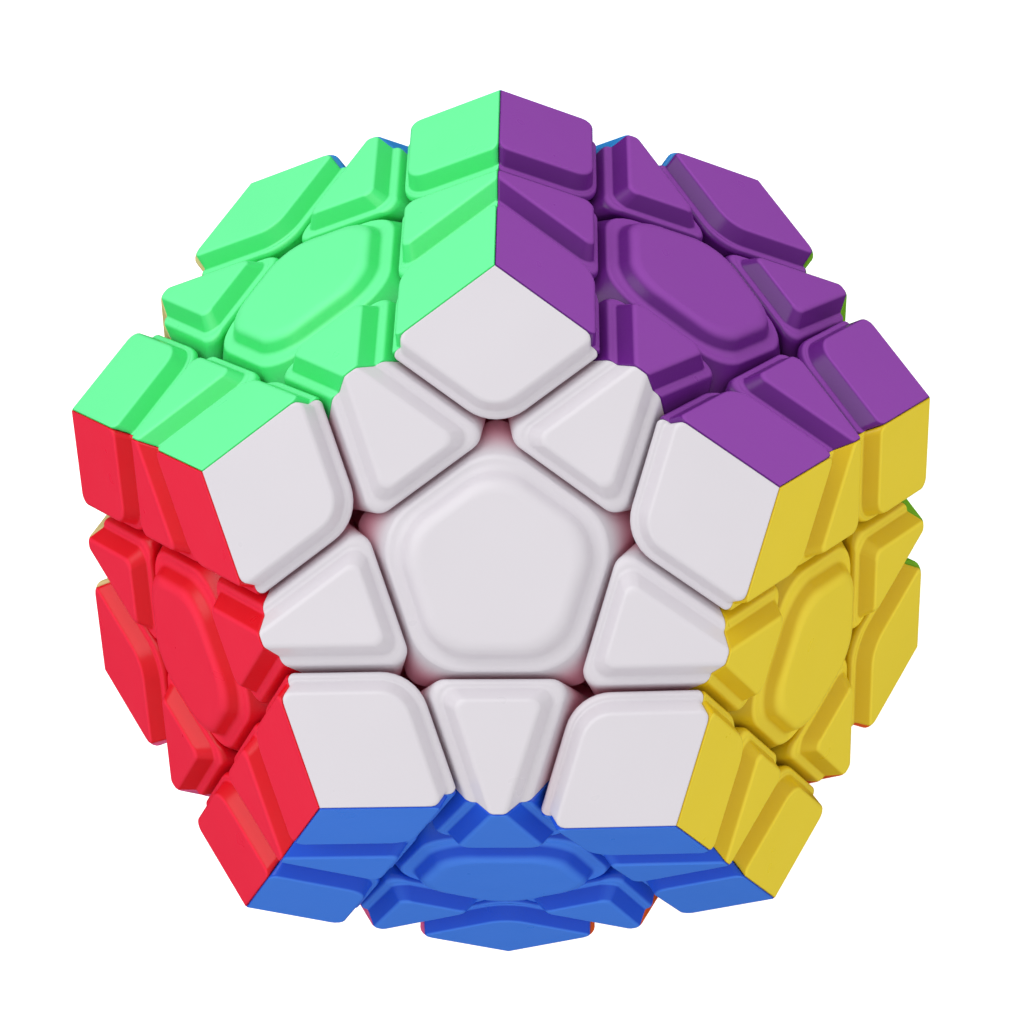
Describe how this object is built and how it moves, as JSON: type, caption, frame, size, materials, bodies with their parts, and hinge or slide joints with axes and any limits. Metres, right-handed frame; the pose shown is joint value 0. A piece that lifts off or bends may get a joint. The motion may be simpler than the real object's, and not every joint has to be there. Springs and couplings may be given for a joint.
{
  "type": "dodecahedron twisty puzzle",
  "caption": "Dodecahedron twisty puzzle: raised, sculpted tiles in a different colour on every face, with layers that turn about the face axes.",
  "frame": {"origin": "the middle of the core, which is the middle of the dodecahedron", "axes": "+Z out of the white face, +Y towards the corner of the white face between green and purple"},
  "size_m": [0.0976, 0.1018, 0.0834],
  "materials": {
    "shell_white": "satin moulded white plastic, coloured right through",
    "shell_green": "satin moulded green plastic, coloured right through",
    "shell_purple": "satin moulded purple plastic, coloured right through",
    "shell_yellow": "satin moulded yellow plastic, coloured right through",
    "shell_blue": "satin moulded blue plastic, coloured right through",
    "shell_red": "satin moulded red plastic, coloured right through",
    "shell_gray": "satin moulded gray plastic, coloured right through",
    "shell_orange": "satin moulded orange plastic, coloured right through",
    "shell_pink": "satin moulded pink plastic, coloured right through",
    "shell_cream": "satin moulded cream plastic, coloured right through",
    "shell_sky_blue": "satin moulded sky blue plastic, coloured right through",
    "shell_lime": "satin moulded lime plastic, coloured right through",
    "inner_plastic": "matte moulded plum-pink plastic of the feet, hubs and core",
    "screw_steel": "zinc-plated steel with a cross recess",
    "spring_steel": "bright drawn spring wire"
  },
  "bodies": {
    "core": {"corner_white_green_purple": "shell_white", "corner_blue_orange_pink": "shell_blue", "corner_gray_orange_pink": "shell_gray", "corner_gray_orange_lime": "shell_gray", "corner_gray_pink_cream": "shell_gray", "edge_white_green": "shell_white", "edge_white_purple": "shell_white", "edge_white_blue": "shell_white", "edge_green_purple": "shell_green", "edge_green_cream": "shell_green", "edge_purple_lime": "shell_purple", "edge_blue_orange": "shell_blue", "edge_blue_pink": "shell_blue", "edge_gray_orange": "shell_gray", "edge_gray_pink": "shell_gray", "edge_gray_cream": "shell_gray", "edge_gray_lime": "shell_gray", "edge_orange_pink": "shell_orange", "edge_orange_lime": "shell_orange", "edge_pink_cream": "shell_pink", "core_with_fixed_centres": "inner_plastic", "screw_yellow": "screw_steel", "screw_red": "screw_steel", "screw_sky_blue": "screw_steel"},
    "yellow_layer": {"corner_white_purple_yellow": "shell_white", "corner_white_yellow_blue": "shell_white", "corner_purple_yellow_lime": "shell_purple", "corner_yellow_blue_orange": "shell_yellow", "corner_yellow_orange_lime": "shell_yellow", "edge_white_yellow": "shell_white", "edge_purple_yellow": "shell_purple", "edge_yellow_blue": "shell_yellow", "edge_yellow_orange": "shell_yellow", "edge_yellow_lime": "shell_yellow", "hub_yellow": "inner_plastic", "cap_yellow": "shell_yellow"},
    "red_layer": {"corner_white_green_red": "shell_white", "corner_white_blue_red": "shell_white", "corner_green_red_cream": "shell_green", "corner_blue_red_pink": "shell_blue", "corner_red_pink_cream": "shell_red", "edge_white_red": "shell_white", "edge_green_red": "shell_green", "edge_blue_red": "shell_blue", "edge_red_pink": "shell_red", "edge_red_cream": "shell_red", "hub_red": "inner_plastic", "cap_red": "shell_red"},
    "sky_blue_layer": {"corner_green_purple_sky_blue": "shell_green", "corner_green_cream_sky_blue": "shell_green", "corner_purple_sky_blue_lime": "shell_purple", "corner_gray_cream_sky_blue": "shell_gray", "corner_gray_sky_blue_lime": "shell_gray", "edge_green_sky_blue": "shell_green", "edge_purple_sky_blue": "shell_purple", "edge_gray_sky_blue": "shell_gray", "edge_cream_sky_blue": "shell_cream", "edge_sky_blue_lime": "shell_sky_blue", "hub_sky_blue": "inner_plastic", "cap_sky_blue": "shell_sky_blue"}
  },
  "joints": [
    {"name": "turn_yellow", "type": "hinge", "parent": "core", "child": "yellow_layer", "pos_m": [0, 0, 0], "axis": [0.8507, -0.2764, 0.4472], "continuous": true},
    {"name": "turn_red", "type": "hinge", "parent": "core", "child": "red_layer", "pos_m": [0, 0, 0], "axis": [-0.8507, -0.2764, 0.4472], "continuous": true},
    {"name": "turn_sky_blue", "type": "hinge", "parent": "core", "child": "sky_blue_layer", "pos_m": [0, 0, 0], "axis": [0, 0.8944, -0.4472], "continuous": true}
  ]
}
